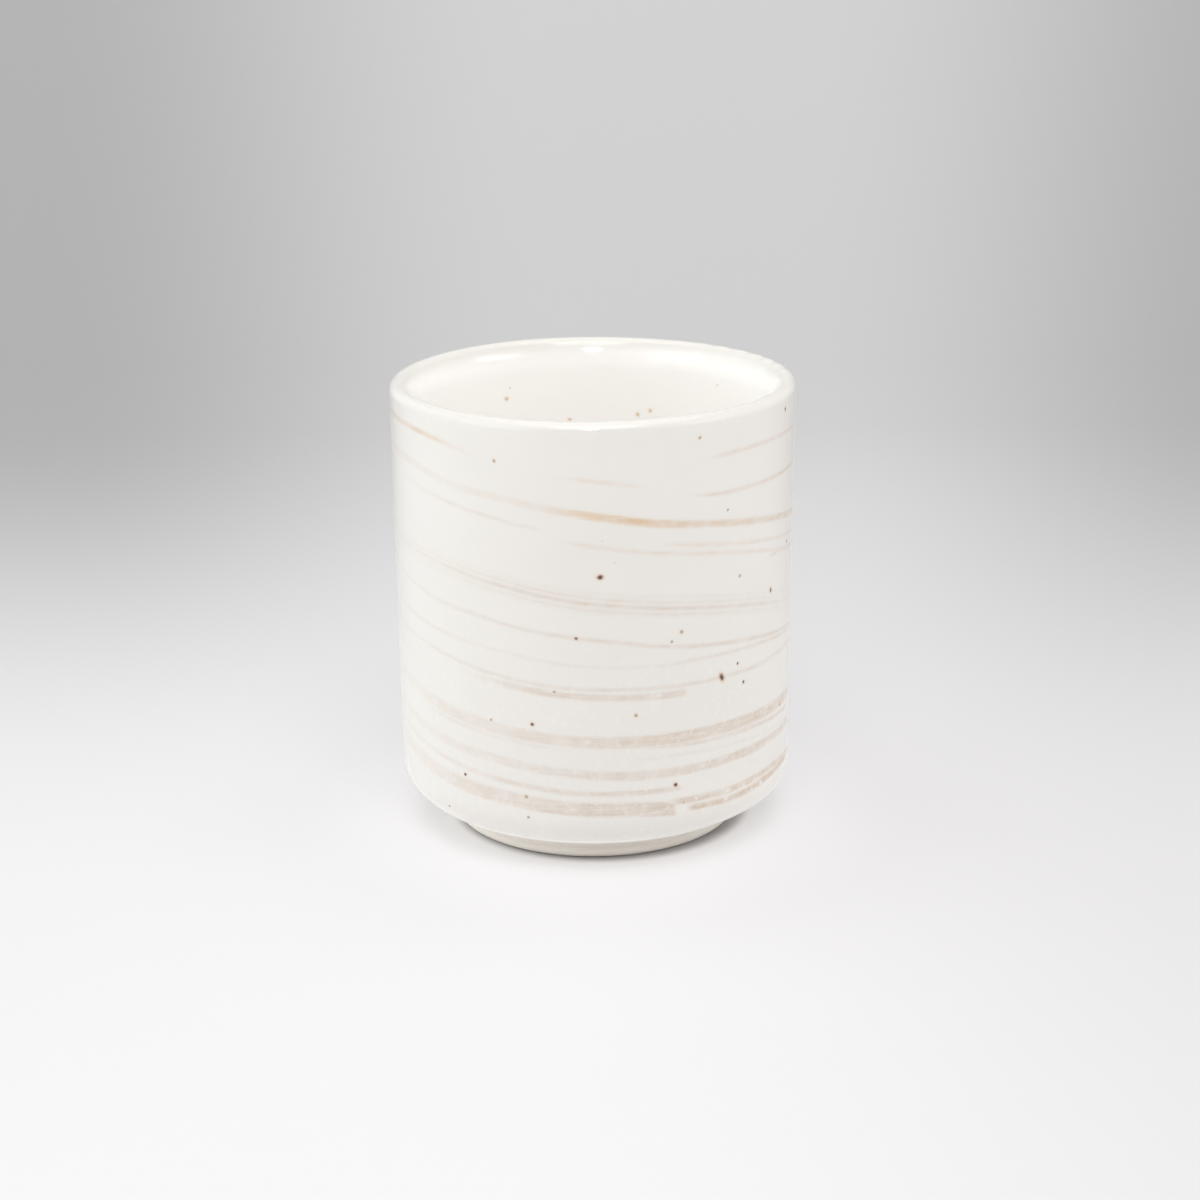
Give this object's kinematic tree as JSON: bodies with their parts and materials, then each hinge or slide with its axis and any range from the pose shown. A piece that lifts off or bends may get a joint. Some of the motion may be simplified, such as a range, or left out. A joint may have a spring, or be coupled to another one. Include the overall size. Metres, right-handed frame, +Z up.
{
  "type": "tea cup",
  "caption": "Straight-sided handleless tea cup in off-white glazed stoneware with brushed pale brown strokes and iron specks, standing on a bare clay foot ring; holds hot tea.",
  "frame": {"origin": "centre of the foot ring's base, on the cup's axis in the plane it stands on", "axes": "+Z up along the cup's axis of revolution; +Y away from the picture's viewer, +X to the right"},
  "size_m": [0.08, 0.08, 0.0905],
  "materials": {
    "clay": "bare fired stoneware, matte and slightly gritty",
    "bare_foot": "bare fired stoneware with fine turning lines, matte",
    "outer_glaze": "glossy off-white glaze over pale brown brushed slip strokes and iron specks",
    "inner_glaze": "glossy warm white liner glaze with a few iron specks"
  },
  "bodies": {
    "root": {"clay_body": "clay", "foot_ring": "bare_foot", "outer_glaze": "outer_glaze", "inner_glaze": "inner_glaze"}
  },
  "joints": []
}
